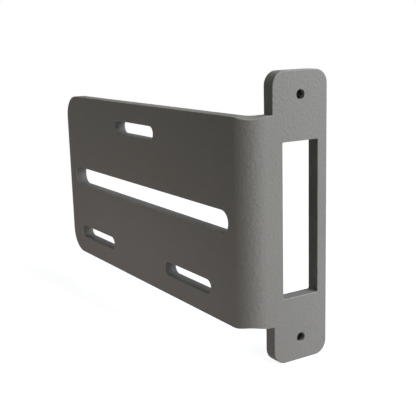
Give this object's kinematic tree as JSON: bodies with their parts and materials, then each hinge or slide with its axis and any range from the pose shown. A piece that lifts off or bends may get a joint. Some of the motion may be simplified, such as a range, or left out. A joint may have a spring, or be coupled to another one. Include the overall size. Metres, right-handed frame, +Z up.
{
  "type": "strike bracket",
  "caption": "Folded steel bracket that holds a latch strike square to a post: slotted plate to adjust it, flange with a latch opening and tapped strike holes.",
  "frame": {"origin": "on the flange's outer face, midway between the two tapped strike holes", "axes": "+X out of the flange's outer face, +Y towards the flange's free edge, +Z up along the ears; the slotted plate runs back along -X"},
  "size_m": [0.178, 0.0423, 0.125],
  "materials": {
    "coated_steel": "semi-matt grey powder coat, fine orange peel"
  },
  "bodies": {
    "root": {"strike_bracket": "coated_steel"}
  },
  "joints": []
}
